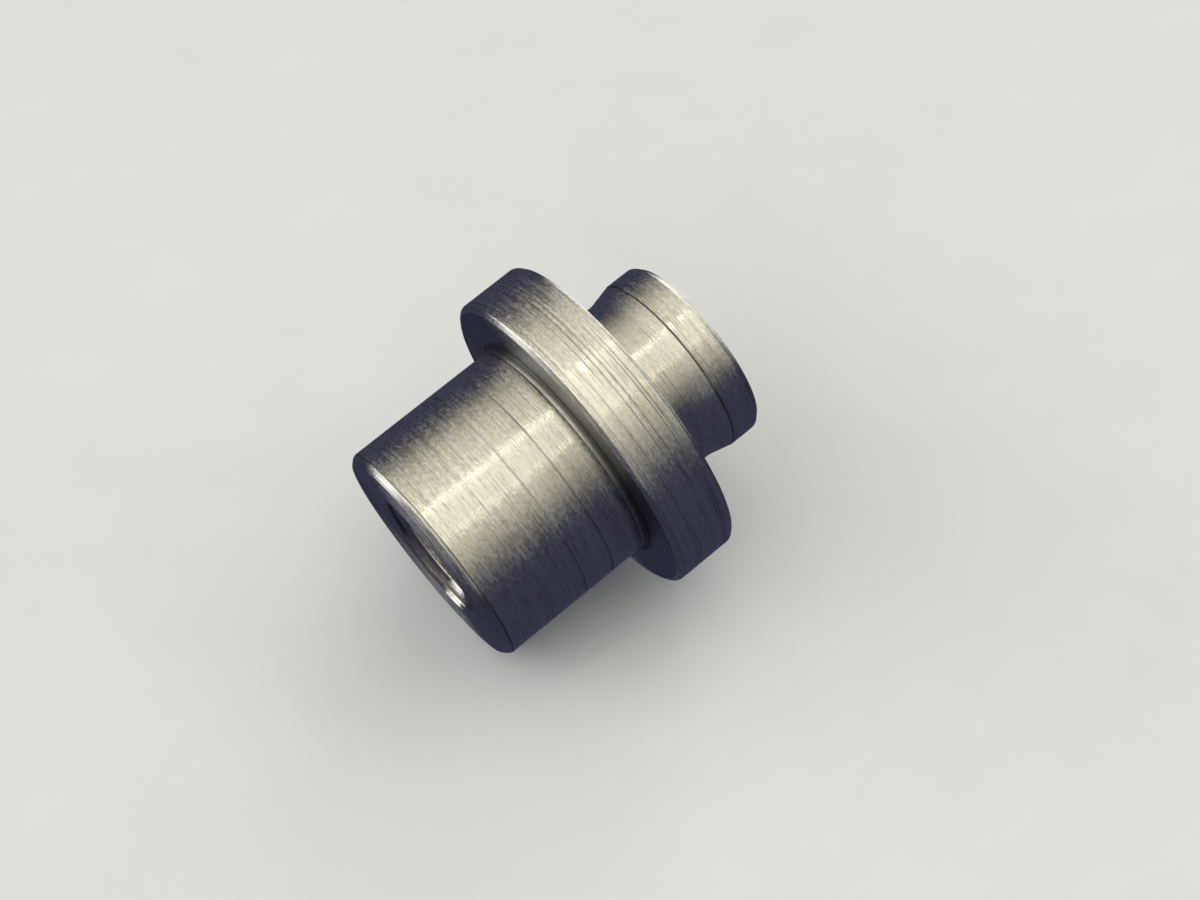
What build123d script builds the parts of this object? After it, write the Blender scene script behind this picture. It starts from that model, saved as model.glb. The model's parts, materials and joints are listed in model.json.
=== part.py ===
"""Flanged shaft collar: a turned steel body, and a socket set screw that bears on the
shaft through a swivelling brass shoe.

Frame: the bore axis is X, with the hub towards -X and the spigot towards +X. The origin is
on the bore axis, in the plane of the flange's hub-side face. The set screw lies along +Y.
"""

import os
from math import isclose

from build123d import *

# Turned body
BORE_RADIUS = 5.0
HUB_RADIUS = 10.0
HUB_LENGTH = 14.4
FLANGE_RADIUS = 14.0
FLANGE_THICKNESS = 5.6
SPIGOT_LENGTH = 8.0
NECK_RADIUS = 7.65
NECK_LENGTH = 3.2
LIP_RADIUS = 8.15
LIP_LENGTH = 2.9
HUB_END = -HUB_LENGTH
SPIGOT_END = FLANGE_THICKNESS + SPIGOT_LENGTH

# Edges of the turned body
HUB_CHAMFER = 0.5
FLANGE_CHAMFER = 0.3
FLANGE_BEVEL_WIDTH = 0.5
LIP_CHAMFER = 0.5
MOUTH_CHAMFER = 1.0
FAR_MOUTH_CHAMFER = 0.5
SHOULDER_FILLET = 0.25
NECK_FILLET = 0.25

# Fine grooves that the turning tool leaves: in the hub just before the flange, and in the
# spigot where its flare meets the lip
GROOVE_WIDTH = 0.2
GROOVE_DEPTH = 0.06
RELIEF_START = -0.7
LIP_START = SPIGOT_END - LIP_LENGTH

# Tapped hole for an M4 set screw, drawn as a plain hole of the thread's outer radius
TAP_RADIUS = 2.0
TAP_MOUTH_RADIUS = 2.35
TAP_X = HUB_END / 2
TAP_DEPTH = HUB_RADIUS - BORE_RADIUS + 1.0

# M4 x 4 set screw with a hexagon socket: heights are distances from the bore axis
SCREW_RADIUS = TAP_RADIUS - 0.05
SCREW_LENGTH = 4.0
SCREW_TIP_CHAMFER = 0.5
SCREW_TOP_CHAMFER = 0.25
SOCKET_ACROSS_FLATS = 2.0
SOCKET_DEPTH = 1.9
SHOE_CLEARANCE = 0.2
SHOE_THICKNESS = 0.6
SHOE_RADIUS = 1.55
SHOE_CHAMFER = 0.12
STEM_RADIUS = 0.6
STEM_LENGTH = 0.9
STEM_PLAY = 0.05
SHOE_FOOT = BORE_RADIUS + SHOE_CLEARANCE
SCREW_TIP = SHOE_FOOT + SHOE_THICKNESS


def rim(part, station, radius):
    """The circular edge of a turned part at a station along X."""
    return part.edges().filter_by(
        lambda edge: edge.geom_type == GeomType.CIRCLE
        and isclose(edge.radius, radius, abs_tol=1e-4)
        and isclose(edge.arc_center.X, station, abs_tol=1e-4)
    )


def on_flange_face(face):
    """Whether a face lies in the flange's hub-side plane."""
    return isclose(face.center().X, 0, abs_tol=1e-4)


def radial_plane(height):
    """A plane across the set screw's axis, at a height above the bore axis, facing outwards."""
    return Plane(origin=(TAP_X, height, 0), x_dir=(1, 0, 0), z_dir=(0, 1, 0))


def write(piece, name):
    """Label a finished piece and write it to its own STEP file."""
    piece.part.label = name
    export_step(piece.part, f"parts/{name}.step")


os.makedirs("parts", exist_ok=True)

# Collar body: hub, flange and spigot turned from one bar and bored through
with BuildPart() as collar_body:
    with BuildSketch(Plane.XY):
        with BuildLine():
            Polyline(
                (HUB_END, BORE_RADIUS),
                (HUB_END, HUB_RADIUS),
                (RELIEF_START, HUB_RADIUS),
                (RELIEF_START + GROOVE_WIDTH / 2, HUB_RADIUS - GROOVE_DEPTH),
                (RELIEF_START + GROOVE_WIDTH, HUB_RADIUS),
                (0, HUB_RADIUS),
                (0, FLANGE_RADIUS),
                (FLANGE_THICKNESS, FLANGE_RADIUS),
                (FLANGE_THICKNESS, NECK_RADIUS),
                (FLANGE_THICKNESS + NECK_LENGTH, NECK_RADIUS),
                (LIP_START - GROOVE_WIDTH / 2, LIP_RADIUS - GROOVE_DEPTH),
                (LIP_START, LIP_RADIUS - 2 * GROOVE_DEPTH),
                (LIP_START + GROOVE_WIDTH / 2, LIP_RADIUS),
                (SPIGOT_END, LIP_RADIUS),
                (SPIGOT_END, BORE_RADIUS),
                close=True,
            )
        make_face()
    revolve(axis=Axis.X)
    chamfer(rim(collar_body, HUB_END, HUB_RADIUS), HUB_CHAMFER)
    chamfer(rim(collar_body, HUB_END, BORE_RADIUS), MOUTH_CHAMFER)
    near_face = collar_body.faces().filter_by(Axis.X).filter_by(on_flange_face)
    flange_rim = rim(collar_body, 0, FLANGE_RADIUS)
    chamfer(flange_rim, FLANGE_BEVEL_WIDTH, FLANGE_CHAMFER, reference=near_face[0])
    chamfer(rim(collar_body, FLANGE_THICKNESS, FLANGE_RADIUS), FLANGE_CHAMFER)
    chamfer(rim(collar_body, SPIGOT_END, LIP_RADIUS), LIP_CHAMFER)
    chamfer(rim(collar_body, SPIGOT_END, BORE_RADIUS), FAR_MOUTH_CHAMFER)
    fillet(rim(collar_body, 0, HUB_RADIUS), SHOULDER_FILLET)
    fillet(rim(collar_body, FLANGE_THICKNESS, NECK_RADIUS), NECK_FILLET)
    with Locations(radial_plane(HUB_RADIUS)):
        CounterSinkHole(TAP_RADIUS, TAP_MOUTH_RADIUS, TAP_DEPTH)
write(collar_body, "collar_body")

# Set screw: its tip is bored blind for the shoe's stem, its top has a hexagon socket
with BuildPart() as set_screw:
    with BuildSketch(radial_plane(SCREW_TIP)):
        Circle(SCREW_RADIUS)
    extrude(amount=SCREW_LENGTH)
    chamfer(set_screw.edges().group_by(Axis.Y)[0], SCREW_TIP_CHAMFER)
    chamfer(set_screw.edges().group_by(Axis.Y)[-1], SCREW_TOP_CHAMFER)
    with BuildSketch(radial_plane(SCREW_TIP)):
        Circle(STEM_RADIUS + STEM_PLAY)
    extrude(amount=STEM_LENGTH + STEM_PLAY, mode=Mode.SUBTRACT)
    with BuildSketch(radial_plane(SCREW_TIP + SCREW_LENGTH)):
        RegularPolygon(SOCKET_ACROSS_FLATS / 2, 6, major_radius=False)
    extrude(amount=-SOCKET_DEPTH, mode=Mode.SUBTRACT)
write(set_screw, "set_screw")

# Brass shoe: a pad that meets the shaft, with a stem that lets the screw turn above it
with BuildPart() as brass_shoe:
    with BuildSketch(radial_plane(SHOE_FOOT)):
        Circle(SHOE_RADIUS)
    extrude(amount=SHOE_THICKNESS)
    chamfer(brass_shoe.edges().group_by(Axis.Y)[0], SHOE_CHAMFER)
    with BuildSketch(radial_plane(SCREW_TIP)):
        Circle(STEM_RADIUS)
    extrude(amount=STEM_LENGTH)
write(brass_shoe, "brass_shoe")
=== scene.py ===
"""A flanged shaft collar in turned steel, with a black set screw that bears on the shaft
through a brass shoe, on a pale studio floor.

Frame: the bore axis is X, with the hub towards -X and the spigot towards +X. The set screw
lies along +Y. Every length is in metres.
"""

import json
from math import ceil, cos, pi, radians, sin, sqrt, tan

import bmesh
import bpy
import numpy as np
from mathutils import Matrix, Vector


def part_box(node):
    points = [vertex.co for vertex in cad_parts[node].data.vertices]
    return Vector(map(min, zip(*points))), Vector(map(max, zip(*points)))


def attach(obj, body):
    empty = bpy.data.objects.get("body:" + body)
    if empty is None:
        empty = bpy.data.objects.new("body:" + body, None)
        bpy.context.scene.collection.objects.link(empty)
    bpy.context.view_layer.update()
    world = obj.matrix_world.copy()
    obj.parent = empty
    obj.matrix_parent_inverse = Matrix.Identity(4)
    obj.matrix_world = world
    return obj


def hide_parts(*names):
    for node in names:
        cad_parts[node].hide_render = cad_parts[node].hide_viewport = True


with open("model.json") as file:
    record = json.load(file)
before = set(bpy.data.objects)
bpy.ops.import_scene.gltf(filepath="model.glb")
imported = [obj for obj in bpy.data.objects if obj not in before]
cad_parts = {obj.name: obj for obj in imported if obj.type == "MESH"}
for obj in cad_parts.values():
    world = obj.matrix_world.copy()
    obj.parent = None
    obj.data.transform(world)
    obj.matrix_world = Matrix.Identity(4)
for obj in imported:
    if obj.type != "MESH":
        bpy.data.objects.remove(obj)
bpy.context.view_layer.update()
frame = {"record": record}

MM = 0.001
MICRON = 0.001 * MM

# Sizes of the turned body that the frame states
mounts = {mount["name"]: mount for mount in frame["record"]["mounts"]}
body_low, body_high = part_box("collar_body")
HUB_END = body_low.x
SPIGOT_END = body_high.x
FLANGE_RADIUS = min(body_high.y, body_high.z)
FLANGE_THICKNESS = mounts["flange_spigot_face"]["pos_m"][0]
BORE_RADIUS = mounts["shaft_bore"]["dims"]["r_mm"] * MM
HUB_RADIUS = mounts["hub_outside"]["dims"]["r_mm"] * MM
LIP_RADIUS = mounts["spigot_lip"]["dims"]["r_mm"] * MM

# Smaller sizes of the turned body, as they are in the CAD model
HUB_CHAMFER = 0.5 * MM
MOUTH_CHAMFER = 1.0 * MM
FAR_MOUTH_CHAMFER = 0.5 * MM
FLANGE_CHAMFER = 0.3 * MM
FLANGE_BEVEL_WIDTH = 0.5 * MM
SHOULDER_FILLET = 0.25 * MM
RELIEF_STATION = -0.6 * MM
NECK_RADIUS = 7.65 * MM
NECK_LENGTH = 3.2 * MM
LIP_LENGTH = 2.9 * MM
LIP_CHAMFER = 0.5 * MM
GROOVE_DEPTH = 0.06 * MM
GROOVE_HALF_WIDTH = 0.1 * MM
LIP_START = SPIGOT_END - LIP_LENGTH

# Stations of the deepest tool scores, which hold dirt
HUB_SCORES = (-6.35 * MM, -3.6 * MM)
FLANGE_SCORES = (4.42 * MM, 4.7 * MM)

# Random tool scores: how far apart they are on average, and how deep the deepest is
SCORE_SPACING = 0.75 * MM
BORE_SCORE_SPACING = 4.0 * MM
DEEPEST_SCORE = 0.010 * MM
SCORE_SEED = 7

# The radial screw line: the screw's and the shoe's places come from the frame
screw_low, screw_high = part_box("set_screw")
shoe_low, shoe_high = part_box("brass_shoe")
SCREW_X = (screw_low.x + screw_high.x) / 2
SCREW_RADIUS = (screw_high.x - screw_low.x) / 2
SCREW_TIP = screw_low.y
SCREW_TOP = screw_high.y
SCREW_TIP_CHAMFER = 0.5 * MM
SCREW_TOP_CHAMFER = 0.25 * MM
SOCKET_ACROSS_FLATS = 2.0 * MM
SOCKET_DEPTH = 1.9 * MM
THREAD_PITCH = 0.7 * MM
THREAD_CREST_WIDTH = THREAD_PITCH / 8
THREAD_PLAY = 0.05 * MM
SCREW_ROOT = SCREW_RADIUS - 0.4 * MM
TAP_CREST = SCREW_RADIUS - 0.3 * MM
TAP_MOUTH_RADIUS = 2.35 * MM
COUNTERSINK_ANGLE = radians(82)
STEM_HOLE_RADIUS = 0.65 * MM
STEM_HOLE_DEPTH = 0.95 * MM
SHOE_FOOT = shoe_low.y
SHOE_TOP = SCREW_TIP
SHOE_RADIUS = (shoe_high.x - shoe_low.x) / 2
SHOE_FOOT_ROUNDING = 0.12 * MM
SHOE_TOP_ROUNDING = 0.06 * MM
STEM_TOP = shoe_high.y
STEM_RADIUS = 0.6 * MM
STEM_ROUNDING = 0.12 * MM

# How finely the meshes are divided
BODY_SEGMENTS = 132
SCREW_SEGMENTS = 180
SHOE_SEGMENTS = 96
SCREW_RINGS = 172
TAP_RINGS_PER_TURN = 24
ARC_STEP = radians(15)
LEAST_ARC_STEPS = 3
RUN_STEP = 0.8 * MM
BORE_RUN_STEP = 2.0 * MM
SHORTEST_SCORED_RUN = 0.05 * MM
SHARP_ANGLE = radians(32)


# ---------------------------------------------------------------- meshes

def make_object(name, vertices, faces, material):
    """A mesh object with outward faces, smooth apart from its sharp edges."""
    mesh = bpy.data.meshes.new(name)
    mesh.from_pydata(vertices, [], faces)
    work = bmesh.new()
    work.from_mesh(mesh)
    bmesh.ops.recalc_face_normals(work, faces=work.faces)
    work.to_mesh(mesh)
    work.free()
    mesh.materials.append(material)
    made = bpy.data.objects.new(name, mesh)
    bpy.context.scene.collection.objects.link(made)
    soften(made)
    return made


def soften(made):
    """Shade an object smooth, and keep its strongly folded edges sharp."""
    made.data.shade_smooth()
    made.data.set_sharp_from_angle(angle=SHARP_ANGLE)


def round_corners(corners):
    """The corners of a closed outline of (station, radius, rounding) points, rounded off.
    Each is given as its arc's start, its end, and the arc's points."""
    count = len(corners)
    joints = []
    for index, (station, radius, rounding) in enumerate(corners):
        here = Vector((station, radius))
        before = (Vector(corners[index - 1][:2]) - here).normalized()
        after = (Vector(corners[(index + 1) % count][:2]) - here).normalized()
        if rounding == 0:
            joints.append((here, here, [here]))
            continue
        half = before.angle(after) / 2
        reach = rounding / tan(half)
        centre = here + (before + after).normalized() * rounding / sin(half)
        start = here + before * reach
        end = here + after * reach
        steps = max(LEAST_ARC_STEPS, ceil((pi - 2 * half) / ARC_STEP))
        arc = []
        for step in range(steps + 1):
            spoke = start.lerp(end, step / steps) - centre
            arc.append(centre + spoke.normalized() * rounding)
        joints.append((start, end, arc))
    return joints


def score_depth(offset, half_width, depth):
    """How deep a round-bottomed score is, at a distance from its middle."""
    share = min(1, abs(offset) / half_width)
    return depth * (0.5 + 0.5 * cos(pi * share))


def scored_run(start, end, scores, step):
    """Points between start and end, a step apart or less, with scores cut into the material
    on the run's right-hand side. A score is (distance along the run, half width, depth)."""
    length = (end - start).length
    along = (end - start) / length
    inward = Vector((along.y, -along.x))
    stops = set(np.linspace(0, length, max(2, ceil(length / step)) + 1)[1:-1])
    for middle, half_width, depth in scores:
        for share in (-1, -0.5, 0, 0.5, 1):
            stop = middle + share * half_width
            if 0 < stop < length:
                stops.add(stop)
    points = []
    for stop in sorted(stops):
        cut = max((score_depth(stop - middle, half_width, depth)
                   for middle, half_width, depth in scores), default=0)
        points.append(start + along * stop + inward * cut)
    return points


def random_scores(rng, length, spacing, deepest):
    """Tool scores over a run, at uneven places and of uneven depth; most are faint."""
    scores = []
    for _ in range(int(length / spacing)):
        depth = deepest * rng.uniform(0.25, 1) ** 2
        scores.append((rng.uniform(0, length), rng.uniform(0.03, 0.07) * MM, depth))
    return scores


def spokes(segments):
    """Evenly spaced angles, the first of them zero."""
    return np.arange(segments) * 2 * pi / segments


def quarter_turn(steps):
    """Angles from zero to a right angle."""
    return [step / steps * pi / 2 for step in range(steps + 1)]


def band(here, there, segments):
    """The faces between two rings of vertices, given the number of each ring's first one."""
    faces = []
    for side in range(segments):
        after = (side + 1) % segments
        faces.append((here + side, here + after, there + after, there + side))
    return faces


def turn(name, outline, material, segments):
    """A closed outline of (station, radius) points, turned round the X axis."""
    rings = np.array(outline)
    angles = (np.arange(segments) + 0.5) * 2 * pi / segments
    vertices = np.empty((len(rings), segments, 3))
    vertices[:, :, 0] = rings[:, :1]
    vertices[:, :, 1] = rings[:, 1:] * np.cos(angles)
    vertices[:, :, 2] = rings[:, 1:] * np.sin(angles)
    faces = []
    for ring in range(len(rings)):
        following = (ring + 1) % len(rings)
        faces += band(ring * segments, following * segments, segments)
    return make_object(name, vertices.reshape(-1, 3).tolist(), faces, material)


def stack(name, rings, material, segments):
    """A closed solid of rings round the screw line. A ring is a height along +Y, and either
    one radius or one for each segment. The first and last rings close on their middles."""
    vertices = []
    for height, radii in rings:
        for angle, radius in zip(spokes(segments), np.broadcast_to(radii, segments)):
            vertices.append((SCREW_X + radius * sin(angle), height, radius * cos(angle)))
    faces = []
    for ring in range(len(rings) - 1):
        faces += band(ring * segments, (ring + 1) * segments, segments)
    for ring in (0, len(rings) - 1):
        middle = len(vertices)
        vertices.append((SCREW_X, rings[ring][0], 0))
        for side in range(segments):
            after = (side + 1) % segments
            faces.append((ring * segments + side, ring * segments + after, middle))
    return make_object(name, vertices, faces, material)


def thread_radius(height, angles, crest, root, play):
    """Radius of the M4 right-hand thread at a height, for each angle round the screw line.
    The screw and its hole share this helix, so they stay in mesh as the screw turns. The
    flanks are 30 degrees from square to the axis, so they fall by sqrt(3) along it."""
    turns = height / THREAD_PITCH - angles / (2 * pi)
    from_crest = np.abs(turns - np.round(turns)) * THREAD_PITCH
    flank = crest + play - (from_crest - THREAD_CREST_WIDTH / 2) * sqrt(3)
    return np.clip(flank, root, crest + play)


# ---------------------------------------------------------------- materials

class Nodes:
    """A node tree built step by step: each method adds a node and returns its output."""

    def __init__(self, tree):
        self.tree = tree

    def feed(self, socket, value):
        """Link an output to a socket, or set the socket's own value."""
        if isinstance(value, bpy.types.NodeSocket):
            self.tree.links.new(value, socket)
        else:
            socket.default_value = value

    def add(self, kind, output=0, settings=(), **inputs):
        """A node with its settings and inputs, where an input's spaces are underscores."""
        made = self.tree.nodes.new(kind)
        for name, value in dict(settings).items():
            setattr(made, name, value)
        for name, value in inputs.items():
            self.feed(made.inputs[name.replace("_", " ")], value)
        return None if output is None else made.outputs[output]

    def math(self, operation, first, second=0.0):
        made = self.tree.nodes.new("ShaderNodeMath")
        made.operation = operation
        self.feed(made.inputs[0], first)
        self.feed(made.inputs[1], second)
        return made.outputs[0]

    def vector_math(self, operation, first, second=(0, 0, 0), output="Vector"):
        made = self.tree.nodes.new("ShaderNodeVectorMath")
        made.operation = operation
        self.feed(made.inputs[0], first)
        self.feed(made.inputs[1], second)
        return made.outputs[output]

    def sum(self, *values):
        total = values[0]
        for value in values[1:]:
            total = self.math("ADD", total, value)
        return total

    def times(self, first, second):
        return self.math("MULTIPLY", first, second)

    def swing(self, value, amount):
        """How far a noise is from its middle, scaled."""
        return self.times(self.math("SUBTRACT", value, 0.5), amount)

    def near(self, value, middle, reach):
        """One at a value, falling to zero at a distance from it."""
        return self.remap(self.math("ABSOLUTE", self.math("SUBTRACT", value, middle)),
                          reach * 0.5, reach, 1.0, 0.0)

    def split(self, vector):
        made = self.tree.nodes.new("ShaderNodeSeparateXYZ")
        self.feed(made.inputs[0], vector)
        return made.outputs[0], made.outputs[1], made.outputs[2]

    def vector(self, x, y, z):
        made = self.tree.nodes.new("ShaderNodeCombineXYZ")
        for socket, value in zip(made.inputs, (x, y, z)):
            self.feed(socket, value)
        return made.outputs[0]

    def noise(self, vector, detail, roughness):
        return self.add("ShaderNodeTexNoise", "Fac", Vector=vector, Scale=1.0,
                        Detail=detail, Roughness=roughness)

    def remap(self, value, low, high, to_low=0.0, to_high=1.0):
        """A value from one range in another, and clamped to it."""
        made = self.tree.nodes.new("ShaderNodeMapRange")
        for socket, number in zip(made.inputs, (value, low, high, to_low, to_high)):
            self.feed(socket, number)
        return made.outputs[0]

    def mix(self, share, first, second):
        """Two colours mixed. The node's sockets for colours are inputs 6 and 7 and output 2."""
        made = self.tree.nodes.new("ShaderNodeMix")
        made.data_type = "RGBA"
        self.feed(made.inputs["Factor"], share)
        self.feed(made.inputs[6], first)
        self.feed(made.inputs[7], second)
        return made.outputs[2]


class Finish(Nodes):
    """A surface finish: the nodes of one Principled material."""

    def __init__(self, name):
        self.material = bpy.data.materials.new(name)
        self.material.use_nodes = True
        super().__init__(self.material.node_tree)
        self.point = self.add("ShaderNodeTexCoord", "Object")

    def cells(self, size):
        """Noise that is even in all directions, with marks of a size."""
        return self.noise(self.vector_math("DIVIDE", self.point, (size, size, size)), 3.0, 0.55)

    def from_screw_line(self):
        """Distance from the screw line."""
        offset = self.vector_math("SUBTRACT", self.point, (SCREW_X, 0, 0))
        flat = self.vector_math("MULTIPLY", offset, (1, 0, 1))
        return self.vector_math("LENGTH", flat, output="Value")

    def bump(self, height, distance):
        return self.add("ShaderNodeBump", 0, Height=height, Strength=1.0, Distance=distance)

    def set(self, **inputs):
        surface = self.tree.nodes["Principled BSDF"]
        for name, value in inputs.items():
            self.feed(surface.inputs[name.replace("_", " ")], value)
        return self.material


class LatheFinish(Finish):
    """A finish on a part that is turned round the X axis. Its `along` changes along every
    run of the outline, chamfers and end faces included."""

    def __init__(self, name):
        super().__init__(name)
        self.x, self.y, self.z = self.split(self.point)
        self.radius = self.vector_math("LENGTH", self.vector(0.0, self.y, self.z),
                                       output="Value")
        self.along = self.sum(self.x, self.times(self.radius, 1.8))

    def marks(self, width, stroke, detail, roughness):
        """Noise with marks that are a width wide along the outline and a stroke long round
        the axis."""
        space = self.vector(self.math("DIVIDE", self.along, width),
                            self.math("DIVIDE", self.y, stroke),
                            self.math("DIVIDE", self.z, stroke))
        return self.noise(space, detail, roughness)

    def dents(self, spacing):
        """Small round dents in some cells of a spacing: one in a dent's middle."""
        cells = self.tree.nodes.new("ShaderNodeTexVoronoi")
        self.feed(cells.inputs["Vector"],
                  self.vector_math("DIVIDE", self.point, (spacing, spacing, spacing)))
        self.feed(cells.inputs["Scale"], 1.0)
        chosen = self.math("GREATER_THAN", self.split(cells.outputs["Color"])[0], 0.62)
        return self.times(self.remap(cells.outputs["Distance"], 0.03, 0.07, 1.0, 0.0), chosen)

    def dirt_and_painted_shade(self, worked, coarse):
        """Dirt in the deep tool scores, and painted shade in the relief groove, the lip's
        groove, the inner corner at the flange and the bore's mouth; also a dark line beside the
        hub's chamfer.
        """
        on_hub = self.near(self.radius, HUB_RADIUS, 0.4 * MM)
        on_lip = self.near(self.radius, LIP_RADIUS, 0.4 * MM)
        in_shoulder = self.near(self.radius, HUB_RADIUS, 0.7 * MM)
        in_mouth = self.near(self.radius, BORE_RADIUS + MOUTH_CHAMFER / 2, 0.20 * MM)
        scored_hub = self.times(on_hub, self.math("MAXIMUM", worked, 0.45))
        scored_flange = self.times(coarse, worked)
        # Each is a station, its reach along the axis, where it counts, and how dark it is. The
        # deep scores hold dirt; the relief groove, the lip's groove, the inner corner at the
        # flange and the bore's mouth get painted shade.
        places = [
            (RELIEF_STATION, 0.10 * MM, on_hub, 0.6),
            *[(station, 0.09 * MM, scored_hub, 0.8) for station in HUB_SCORES],
            *[(station, 0.07 * MM, scored_flange, 0.7) for station in FLANGE_SCORES],
            (HUB_END + HUB_CHAMFER + 0.08 * MM, 0.08 * MM, on_hub, 0.8),
            (LIP_START, 0.10 * MM, self.times(on_lip, worked), 1.0),
            (0.0, 0.45 * MM, in_shoulder, 1.0),
            (HUB_END + MOUTH_CHAMFER / 2, 0.20 * MM, in_mouth, 1.0),
        ]
        total = 0.0
        for station, reach, where, amount in places:
            here = self.times(self.times(self.near(self.x, station, reach), where), amount)
            total = self.math("MAXIMUM", total, here)
        return total


def turned_steel():
    """Bright mild steel as it comes off a lathe: rings that the tool left, abrasive strokes
    round the axis, a frosted grain, small dents, dirt in its deep scores, and painted shade in
    its grooves and inner corners."""
    steel = LatheFinish("turned_steel")
    rings = steel.marks(0.28 * MM, 60 * MM, 3, 0.7)
    strokes = steel.marks(0.14 * MM, 4.0 * MM, 2, 0.6)
    grain = steel.marks(0.19 * MM, 0.50 * MM, 2, 0.55)
    worked = steel.remap(steel.marks(2.2 * MM, 7 * MM, 2, 0.5), 0.38, 0.62, 0.2, 1.0)
    patches = steel.cells(3.5 * MM)
    dents = steel.dents(1.6 * MM)

    # Regions: the flange is cut more coarsely than the hub, its rim is paler, and the bore
    # and its mouth are smoother. End faces and edge breaks are told from the rest by how
    # squarely they face along the axis.
    coarse = steel.remap(steel.radius, HUB_RADIUS, FLANGE_RADIUS - MM, 0.45, 1.0)
    flange_rim = steel.remap(steel.radius, FLANGE_RADIUS - MM, FLANGE_RADIUS - 0.6 * MM)
    bored = steel.remap(steel.radius, BORE_RADIUS + 0.98 * MOUTH_CHAMFER,
                        BORE_RADIUS + MOUTH_CHAMFER, 1.0, 0.0)
    normal = steel.add("ShaderNodeNewGeometry", "Normal")
    facing = steel.math("ABSOLUTE", steel.split(normal)[0])
    end_face = steel.remap(facing, 0.90, 0.97)
    edge = steel.times(steel.remap(facing, 0.28, 0.40), steel.remap(facing, 0.80, 0.90, 1, 0))
    plain = steel.math("SUBTRACT", 1.0, edge)

    # Marks: cuts are dark strokes, ring cuts are dark rings, and frost is a rougher grain
    cuts = steel.times(steel.times(steel.remap(strokes, 0.56, 0.66), worked), plain)
    ring_cuts = steel.times(steel.times(steel.remap(rings, 0.54, 0.62), coarse), plain)
    speckle = steel.sum(steel.times(grain, 0.5), steel.times(strokes, 0.5))
    frost = steel.times(steel.remap(speckle, 0.48, 0.57), plain)
    # Dirt in the deep scores, and painted shade in the grooves, the inner corner at the flange
    # and the bore's mouth
    dirt_and_painted_shade = steel.dirt_and_painted_shade(worked, coarse)

    height = steel.sum(steel.times(strokes, 0.8), steel.times(rings, 0.6),
                       steel.times(grain, 0.8), steel.times(cuts, -0.35),
                       steel.times(ring_cuts, -0.5), steel.times(dents, -0.6))
    tone = steel.sum(0.62, steel.times(cuts, -0.60), steel.times(ring_cuts, -0.75),
                     steel.swing(strokes, 1.2), steel.swing(rings, 1.2),
                     steel.swing(grain, 0.9), steel.times(dents, 0.6),
                     steel.times(edge, -0.25), steel.times(flange_rim, 0.09))
    clean = steel.mix(tone, (0.34, 0.325, 0.28, 1), (0.88, 0.855, 0.76, 1))
    # The flange's near face, which the hub shelters, is darker than the other end faces:
    # painted shade
    painted_shade_near_face = steel.times(steel.near(steel.x, 0, 0.3 * MM), 0.55)
    face_colour = steel.mix(painted_shade_near_face, (0.34, 0.34, 0.33, 1), (0.09, 0.09, 0.09, 1))
    faced = steel.mix(end_face, clean, face_colour)
    # Darkened towards near black by the dirt and the painted shade above
    colour = steel.mix(steel.times(dirt_and_painted_shade, 0.8), faced, (0.035, 0.033, 0.03, 1))
    roughness = steel.sum(0.215, steel.times(frost, 0.16), steel.times(cuts, 0.05),
                          steel.remap(patches, 0.3, 0.7, -0.02, 0.04),
                          steel.times(end_face, -0.03), steel.times(dirt_and_painted_shade, 0.25),
                          steel.times(bored, -0.08), steel.times(flange_rim, 0.03))
    tangent = steel.add("ShaderNodeTangent", 0, {"direction_type": "RADIAL", "axis": "X"})
    return steel.set(Base_Color=colour, Metallic=1.0, Roughness=roughness,
                     Normal=steel.bump(height, 26 * MICRON), Tangent=tangent,
                     Anisotropic=0.9, Anisotropic_Rotation=0.25)


def black_steel():
    """Hardened screw steel under black oxide, rubbed paler on its thread crests."""
    steel = Finish("black_screw_steel")
    grain = steel.cells(0.15 * MM)
    crest = steel.remap(steel.from_screw_line(), SCREW_RADIUS - 0.06 * MM, SCREW_RADIUS, 0, 0.9)
    rub = steel.times(grain, crest)
    colour = steel.mix(rub, (0.018, 0.017, 0.018, 1), (0.22, 0.21, 0.20, 1))
    return steel.set(Base_Color=colour, Metallic=0.9, Normal=steel.bump(grain, 3 * MICRON),
                     Roughness=steel.remap(grain, 0.3, 0.7, 0.34, 0.52))


def brass():
    """Turned brass: fine rings round the screw line, and a little tarnish."""
    alloy = Finish("brass")
    height = alloy.split(alloy.point)[1]
    along = alloy.math("DIVIDE", alloy.sum(height, alloy.from_screw_line()), 0.04 * MM)
    rings = alloy.noise(alloy.vector(along, 0.0, 0.0), 2, 0.6)
    tarnish = alloy.cells(0.5 * MM)
    colour = alloy.mix(tarnish, (0.80, 0.58, 0.27, 1), (0.55, 0.36, 0.15, 1))
    return alloy.set(Base_Color=colour, Metallic=1.0, Normal=alloy.bump(rings, 2 * MICRON),
                     Roughness=alloy.remap(tarnish, 0.3, 0.7, 0.22, 0.36))


# ---------------------------------------------------------------- collar body

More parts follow.
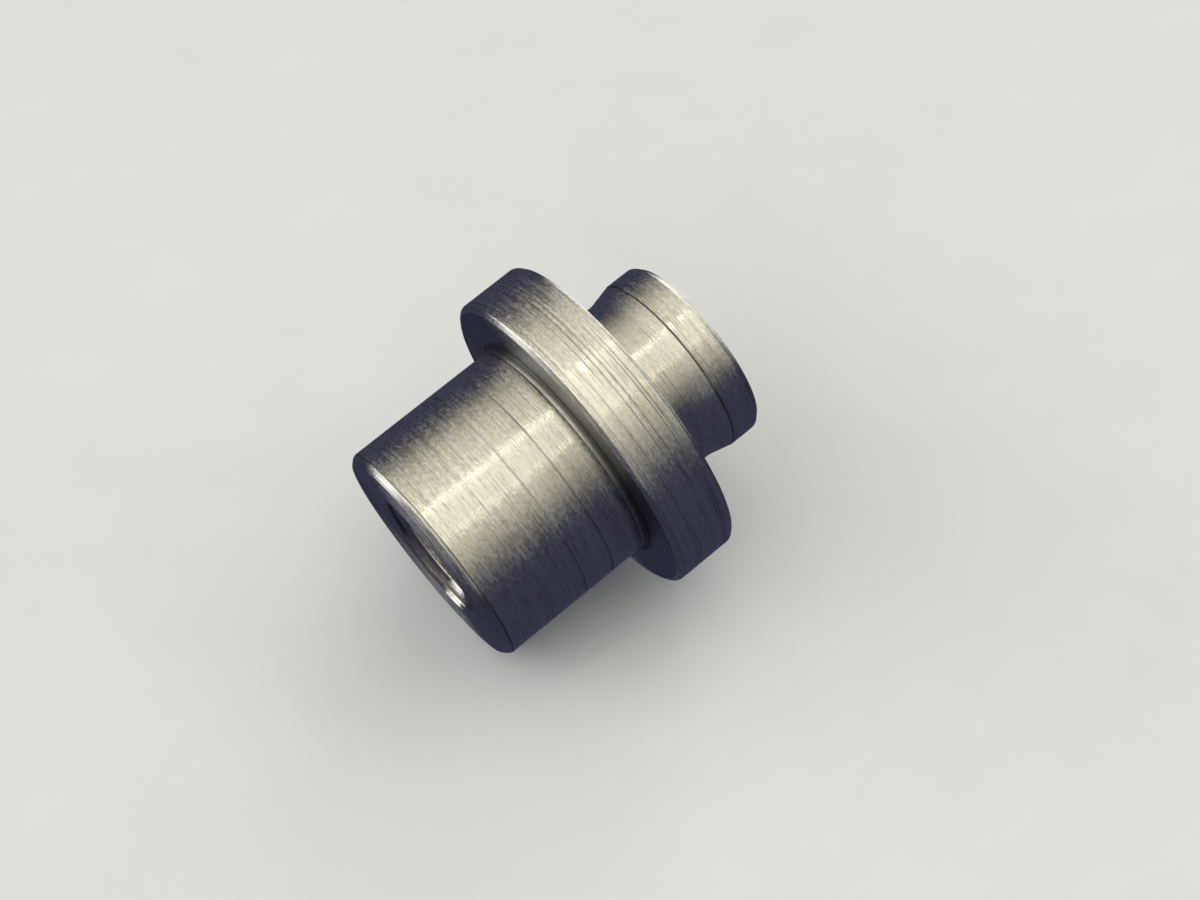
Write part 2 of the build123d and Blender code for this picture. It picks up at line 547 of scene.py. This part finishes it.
def body_outline():
    """The turned body's closed outline, clockwise round the metal: out along the hub's end,
    over the hub, flange and spigot, and back along the bore."""
    lip_foot = LIP_START - GROOVE_HALF_WIDTH
    lip_top = LIP_START + GROOVE_HALF_WIDTH
    far_face = FLANGE_THICKNESS
    corners = [
        (HUB_END + MOUTH_CHAMFER, BORE_RADIUS, 0.08 * MM),
        (HUB_END, BORE_RADIUS + MOUTH_CHAMFER, 0.05 * MM),
        (HUB_END, HUB_RADIUS - HUB_CHAMFER, 0.20 * MM),
        (HUB_END + HUB_CHAMFER, HUB_RADIUS, 0.60 * MM),
        (0, HUB_RADIUS, SHOULDER_FILLET),
        (0, FLANGE_RADIUS - FLANGE_BEVEL_WIDTH, 0.15 * MM),
        (FLANGE_CHAMFER, FLANGE_RADIUS, 0.40 * MM),
        (far_face - FLANGE_CHAMFER, FLANGE_RADIUS, 0.35 * MM),
        (far_face, FLANGE_RADIUS - FLANGE_CHAMFER, 0.08 * MM),
        (far_face, NECK_RADIUS, SHOULDER_FILLET),
        (far_face + NECK_LENGTH, NECK_RADIUS, 2.0 * MM),
        (lip_foot, LIP_RADIUS - GROOVE_DEPTH, 0.05 * MM),
        (LIP_START, LIP_RADIUS - 2 * GROOVE_DEPTH, 0),
        (lip_top, LIP_RADIUS, 0.03 * MM),
        (SPIGOT_END - LIP_CHAMFER, LIP_RADIUS, 0.50 * MM),
        (SPIGOT_END, LIP_RADIUS - LIP_CHAMFER, 0.10 * MM),
        (SPIGOT_END, BORE_RADIUS + FAR_MOUTH_CHAMFER, 0.04 * MM),
        (SPIGOT_END - FAR_MOUTH_CHAMFER, BORE_RADIUS, 0.08 * MM),
    ]
    # Scores in known places, as (station, half width, depth), by the corner above that their
    # run starts from
    mouth_start, hub_start, flange_rim_start, lip_start = 0, 3, 6, 13
    known_scores = {
        mouth_start: [
            (HUB_END + MOUTH_CHAMFER / 2, 0.15 * MM, 0.05 * MM),
        ],
        hub_start: [
            (HUB_SCORES[0], 0.07 * MM, 0.025 * MM),
            (HUB_SCORES[1], 0.07 * MM, 0.025 * MM),
            (-1.8 * MM, 0.05 * MM, 0.012 * MM),
            (-8.4 * MM, 0.05 * MM, 0.014 * MM),
            (-9.7 * MM, 0.05 * MM, 0.014 * MM),
            (RELIEF_STATION, GROOVE_HALF_WIDTH, GROOVE_DEPTH),
        ],
        flange_rim_start: [
            (0.65 * MM, 0.05 * MM, 0.018 * MM),
            (0.95 * MM, 0.05 * MM, 0.018 * MM),
            (FLANGE_SCORES[0], 0.07 * MM, 0.02 * MM),
            (FLANGE_SCORES[1], 0.06 * MM, 0.018 * MM),
        ],
        lip_start: [
            (12.8 * MM, 0.05 * MM, 0.02 * MM),
        ],
    }
    rng = np.random.default_rng(SCORE_SEED)
    joints = round_corners(corners)
    outline = []
    for index, (_, end, arc) in enumerate(joints):
        outline += [tuple(point) for point in arc]
        following = joints[(index + 1) % len(joints)][0]
        length = (following - end).length
        if length < SHORTEST_SCORED_RUN:
            continue
        in_bore = index == len(joints) - 1
        spacing = BORE_SCORE_SPACING if in_bore else SCORE_SPACING
        scores = random_scores(rng, length, spacing, DEEPEST_SCORE)
        for station, half_width, depth in known_scores.get(index, ()):
            share = (station - end.x) / (following.x - end.x)
            scores.append((share * length, half_width, depth))
        run_step = BORE_RUN_STEP if in_bore else RUN_STEP
        run = scored_run(end, following, scores, run_step)
        outline += [tuple(point) for point in run]
    return outline


def tap_cutter():
    """What the tap and its countersink remove: a threaded plug from the bore to the outside."""
    angles = spokes(SCREW_SEGMENTS)
    bottom = BORE_RADIUS - 1.0 * MM
    top = HUB_RADIUS + 0.5 * MM
    rings = []
    for height in np.arange(bottom, top, THREAD_PITCH / TAP_RINGS_PER_TURN):
        thread = thread_radius(height, angles, SCREW_RADIUS, TAP_CREST, THREAD_PLAY)
        cone = TAP_MOUTH_RADIUS + (height - HUB_RADIUS) * tan(COUNTERSINK_ANGLE / 2)
        rings.append((height, np.maximum(thread, cone)))
    return stack("tap_cutter", rings, None, SCREW_SEGMENTS)


def build_body(material):
    """The turned body, with its tapped hole cut through the hub's wall."""
    body = turn("collar_turned_body", body_outline(), material, BODY_SEGMENTS)
    cutter = tap_cutter()
    cut = body.modifiers.new("tapped_hole", "BOOLEAN")
    cut.operation = "DIFFERENCE"
    cut.solver = "EXACT"
    cut.object = cutter
    evaluated = body.evaluated_get(bpy.context.evaluated_depsgraph_get())
    body.data = bpy.data.meshes.new_from_object(evaluated)
    body.modifiers.clear()
    bpy.data.objects.remove(cutter)
    soften(body)
    return body


# ---------------------------------------------------------------- screw and shoe

def build_screw(material):
    """The set screw: threaded shank, chamfered ends, hexagon socket, and a blind hole in its
    tip for the shoe's stem."""
    angles = spokes(SCREW_SEGMENTS)
    hexagon = SOCKET_ACROSS_FLATS / 2 / np.cos(angles % (pi / 3) - pi / 6)
    # The blind hole, from its drilled end out to its broken edge
    rings = [
        (SCREW_TIP + STEM_HOLE_DEPTH, STEM_HOLE_RADIUS * 0.2),
        (SCREW_TIP + STEM_HOLE_DEPTH, STEM_HOLE_RADIUS),
        (SCREW_TIP + 0.05 * MM, STEM_HOLE_RADIUS),
        (SCREW_TIP, STEM_HOLE_RADIUS + 0.05 * MM),
    ]
    for height in np.linspace(SCREW_TIP, SCREW_TOP, SCREW_RINGS):
        thread = thread_radius(height, angles, SCREW_RADIUS, SCREW_ROOT, 0)
        tip_cone = SCREW_RADIUS - SCREW_TIP_CHAMFER + (height - SCREW_TIP)
        top_cone = SCREW_RADIUS - SCREW_TOP_CHAMFER + (SCREW_TOP - height)
        rings.append((height, np.minimum(thread, min(tip_cone, top_cone))))
    # The socket, from its broken edge down its flats to its drilled end
    rings += [
        (SCREW_TOP, hexagon + 0.10 * MM),
        (SCREW_TOP - 0.03 * MM, hexagon + 0.04 * MM),
        (SCREW_TOP - 0.10 * MM, hexagon),
        (SCREW_TOP - SOCKET_DEPTH + 0.35 * MM, hexagon),
        (SCREW_TOP - SOCKET_DEPTH + 0.30 * MM, hexagon * 0.96),
        (SCREW_TOP - SOCKET_DEPTH, 0.1 * MM),
    ]
    return stack("socket_set_screw", rings, material, SCREW_SEGMENTS)


def build_shoe(material):
    """The brass shoe: a faced pad with a rounded rim and turned rings, and its stem."""
    rings = [(SHOE_FOOT + 0.03 * MM, 0.06 * MM), (SHOE_FOOT + 0.02 * MM, 0.16 * MM)]
    ring_depth = 0.006 * MM
    for count, radius in enumerate(np.arange(0.24, 1.36, 0.04)):
        rings.append((SHOE_FOOT + ring_depth * (count % 2), radius * MM))
    for swing in quarter_turn(6):
        rings.append((SHOE_FOOT + SHOE_FOOT_ROUNDING * (1 - cos(swing)),
                      SHOE_RADIUS - SHOE_FOOT_ROUNDING * (1 - sin(swing))))
    for swing in quarter_turn(4):
        rings.append((SHOE_TOP - SHOE_TOP_ROUNDING * (1 - sin(swing)),
                      SHOE_RADIUS - SHOE_TOP_ROUNDING * (1 - cos(swing))))
    rings += [(SHOE_TOP, STEM_RADIUS + 0.06 * MM), (SHOE_TOP + 0.04 * MM, STEM_RADIUS)]
    for swing in quarter_turn(5):
        rings.append((STEM_TOP - STEM_ROUNDING * (1 - sin(swing)),
                      STEM_RADIUS - STEM_ROUNDING * (1 - cos(swing))))
    rings.append((STEM_TOP, 0.1 * MM))
    return stack("shaft_shoe", rings, material, SHOE_SEGMENTS)


body = build_body(turned_steel())
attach(body, "collar")
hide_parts("collar_body")

screw = build_screw(black_steel())
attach(screw, "screw")
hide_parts("set_screw")

shoe = build_shoe(brass())
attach(shoe, "shoe")
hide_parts("brass_shoe")


# ---------------------------------------------------------------- floor and light

# The collar lies on its hub's end and its flange's rim, so the floor slopes under the bore
rest_hub = Vector((HUB_END + HUB_CHAMFER, 0, -HUB_RADIUS))
rest_flange = Vector((FLANGE_CHAMFER, 0, -FLANGE_RADIUS))
floor_along = (rest_flange - rest_hub).normalized()
floor_up = Vector((-floor_along.z, 0, floor_along.x))
FLOOR_SIZE = 12.0
FLOOR_GAP = 0.01 * MM


def build_floor():
    """A large pale matt floor, just under the collar. Reflections see the tent's dim lower
    half in its place."""
    paint = Finish("pale_floor")
    colour = paint.mix(paint.cells(8 * MM), (0.70, 0.72, 0.76, 1), (0.74, 0.76, 0.80, 1))
    paint.set(Base_Color=colour, Roughness=0.85)
    half = FLOOR_SIZE / 2
    across = Vector((0, 1, 0))
    middle = rest_flange - floor_up * FLOOR_GAP
    corners = [middle + floor_along * half * a + across * half * b
               for a, b in ((-1, -1), (1, -1), (1, 1), (-1, 1))]
    made = make_object("studio_floor", [tuple(c) for c in corners], [(0, 1, 2, 3)],
                       paint.material)
    made.visible_glossy = False
    return made


# The tent's tones by how far a direction leans from the brightest one, as a cosine. Its
# bright part is drawn out along the bore axis.
TENT_TOP = Vector((0.28, -0.06, 0.95)).normalized()
TENT_STRETCH = (0.55, 1.0, 1.0)
TENT_TONES = [
    (-1.00, (0.047, 0.050, 0.090)),
    (0.00, (0.058, 0.061, 0.110)),
    (0.20, (0.080, 0.082, 0.115)),
    (0.40, (0.23, 0.225, 0.215)),
    (0.60, (0.50, 0.485, 0.42)),
    (0.80, (0.80, 0.775, 0.66)),
    (1.00, (1.03, 1.00, 0.85)),
]
# Arches of light across the bore axis, one beyond each end of the part: how far along the
# axis each is, its half-width, and its brightness. They fade towards -Y.
ARCHES = [(-0.56, 0.24, 1.5), (0.76, 0.10, 0.8)]
# Windows low in the tent, two beyond the hub's end and one beyond the spigot's: direction,
# brightness, and the cosines of their outer and inner edges
WINDOWS = [
    (Vector((-0.72, 0.68, 0.13)).normalized(), 1.2, 0.962, 0.982),
    (Vector((-0.78, 0.46, -0.40)).normalized(), 1.0, 0.940, 0.965),
    (Vector((0.86, 0.46, -0.22)).normalized(), 1.4, 0.88, 0.95),
]
BACKDROP = (0.686, 0.690, 0.656, 1)


def build_sky():
    """A soft tent round the part: bright overhead, falling off to a dim slate horizon with
    arches of light beyond its ends. The camera sees it as the floor's own pale tone."""
    world = bpy.data.worlds.new("soft_tent")
    bpy.context.scene.world = world
    world.use_nodes = True
    sky = Nodes(world.node_tree)
    sky.tree.nodes.clear()
    outward = sky.add("ShaderNodeTexCoord", "Generated")
    level = sky.vector_math("NORMALIZE", sky.vector_math("MULTIPLY", outward, TENT_STRETCH))
    height = sky.vector_math("DOT_PRODUCT", level, TENT_TOP, "Value")
    ramp = sky.tree.nodes.new("ShaderNodeValToRGB")
    while len(ramp.color_ramp.elements) < len(TENT_TONES):
        ramp.color_ramp.elements.new(1.0)
    for stop, (cosine, tone) in zip(ramp.color_ramp.elements, TENT_TONES):
        stop.position = (cosine + 1) / 2
        stop.color = (*tone, 1)
    sky.feed(ramp.inputs[0], sky.remap(height, -1, 1))
    light = ramp.outputs[0]
    along, across, up = sky.split(outward)
    for middle, reach, brightness in ARCHES:
        off = sky.math("ABSOLUTE", sky.math("SUBTRACT", along, middle))
        glow = sky.times(sky.remap(off, reach * 0.6, reach, brightness, 0.0),
                         sky.times(sky.remap(up, -0.12, 0.0),
                                   sky.remap(across, -0.75, -0.25, 0.45, 1.0)))
        light = sky.vector_math("ADD", light, sky.vector(glow, glow, glow))
    for centre, brightness, outer, inner in WINDOWS:
        near = sky.vector_math("DOT_PRODUCT", outward, centre, "Value")
        glow = sky.remap(near, outer, inner, 0.0, brightness)
        light = sky.vector_math("ADD", light, sky.vector(glow, glow, glow))
    tent = sky.add("ShaderNodeBackground", Color=light)
    backdrop = sky.add("ShaderNodeBackground", Color=BACKDROP)
    mix = sky.tree.nodes.new("ShaderNodeMixShader")
    sky.feed(mix.inputs[0], sky.add("ShaderNodeLightPath", "Is Camera Ray"))
    sky.feed(mix.inputs[1], tent)
    sky.feed(mix.inputs[2], backdrop)
    sky.add("ShaderNodeOutputWorld", None, Surface=mix.outputs[0])


# Softboxes above the part: name, tilt about the bore axis, length, width and power
SOFTBOXES = [
    ("panel", radians(-15), 0.26, 0.30, 0.10),
    ("near_strip", radians(0), 0.30, 0.028, 0.085),
    ("far_strip", radians(-31), 0.14, 0.028, 0.040),
]
LAMP_COLOUR = (1.0, 0.98, 0.88)
LAMP_DISTANCE = 0.6
LAMP_LEAN = radians(9)


def placed(position, right, up, outward):
    """A transform to a position, with its X, Y and Z along three directions."""
    turned = Matrix((right, up, outward)).transposed().to_4x4()
    return Matrix.Translation(position) @ turned


def softbox(name, tilt, length, width, power):
    """A softbox that faces the part, tilted about the bore axis, with its length along it."""
    light = bpy.data.lights.new(name, "AREA")
    light.shape = "RECTANGLE"
    light.size = length
    light.size_y = width
    light.energy = power
    light.color = LAMP_COLOUR
    made = bpy.data.objects.new(name, light)
    outward = Vector((sin(LAMP_LEAN), cos(LAMP_LEAN) * sin(tilt), cos(LAMP_LEAN) * cos(tilt)))
    across = Vector((0, 1, 0)).cross(outward).normalized()
    made.matrix_world = placed(outward * LAMP_DISTANCE, across, outward.cross(across), outward)
    made.visible_camera = False
    bpy.context.scene.collection.objects.link(made)


build_floor()
build_sky()
for box in SOFTBOXES:
    softbox(*box)


# ---------------------------------------------------------------- camera

CAMERA_TARGET = Vector((1.9, -1.75, -0.68)) * MM
CAMERA_DISTANCE = 188.7 * MM
CAMERA_ELEVATION = radians(47.2)
CAMERA_AZIMUTH = radians(-127.4)
CAMERA_LENS = 70.4


def build_camera():
    """The camera looks down at the hub's end; its angles are taken from the floor, with the
    azimuth about the floor's upright from the bore axis."""
    sideways = floor_up.cross(floor_along)
    level = floor_along * cos(CAMERA_AZIMUTH) + sideways * sin(CAMERA_AZIMUTH)
    outward = level * cos(CAMERA_ELEVATION) + floor_up * sin(CAMERA_ELEVATION)
    right = floor_up.cross(outward).normalized()
    up = outward.cross(right)
    camera = bpy.data.cameras.new("camera")
    camera.sensor_fit = "HORIZONTAL"
    camera.sensor_width = 36.0
    camera.lens = CAMERA_LENS
    camera.clip_start = 0.01
    camera.clip_end = 50.0
    made = bpy.data.objects.new("camera", camera)
    made.matrix_world = placed(CAMERA_TARGET + outward * CAMERA_DISTANCE, right, up, outward)
    bpy.context.scene.collection.objects.link(made)
    bpy.context.scene.camera = made


build_camera()
bpy.context.scene.view_settings.view_transform = "Standard"
